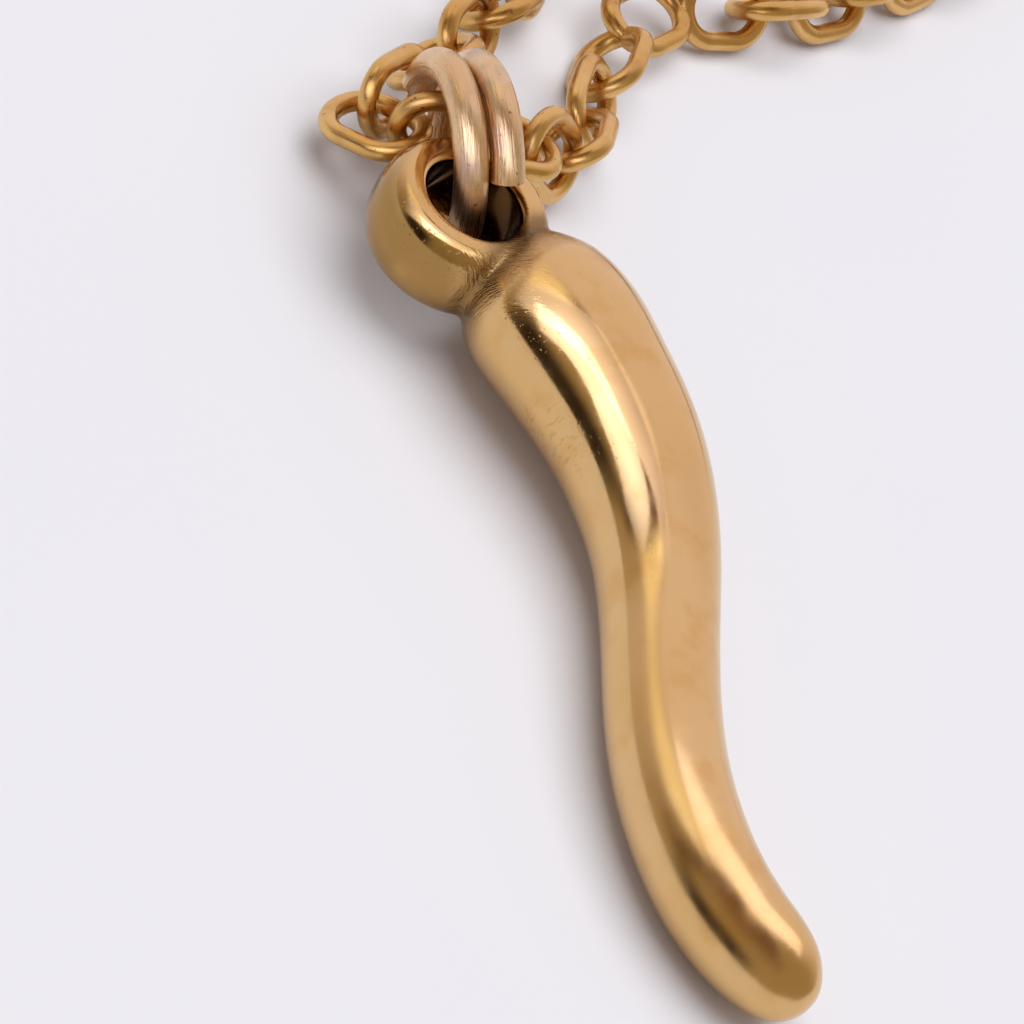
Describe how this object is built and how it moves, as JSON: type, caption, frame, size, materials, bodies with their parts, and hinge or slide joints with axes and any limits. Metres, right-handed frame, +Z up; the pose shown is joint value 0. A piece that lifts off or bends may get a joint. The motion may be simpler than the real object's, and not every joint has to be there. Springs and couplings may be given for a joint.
{
  "type": "cornicello horn pendant on a chain necklace",
  "caption": "Small curved horn charm with a barrel eyelet on a lapped round-wire jump ring, on a fine oval-link cable chain closed by a plain barrel clasp.",
  "frame": {"origin": "on the surface that everything lies on, in the middle of the chain's loop, where a neck goes through", "axes": "+Z up from the surface, +Y from the pendant along the loop's middle line to the clasp, +X to the right strand"},
  "size_m": [0.1202, 0.1683, 0.0061],
  "materials": {
    "horn_gold": "cast and polished gold plate with fine polishing pits",
    "ring_gold": "drawn wire, plated, with fine lengthwise scratches",
    "chain_gold": "drawn wire, plated and bright",
    "clasp_gold": "turned, plated and polished"
  },
  "bodies": {
    "root": {"horn_pendant": "horn_gold", "jump_ring": "ring_gold", "chain_left": "chain_gold", "chain_right": "chain_gold", "clasp": "clasp_gold"}
  },
  "joints": []
}
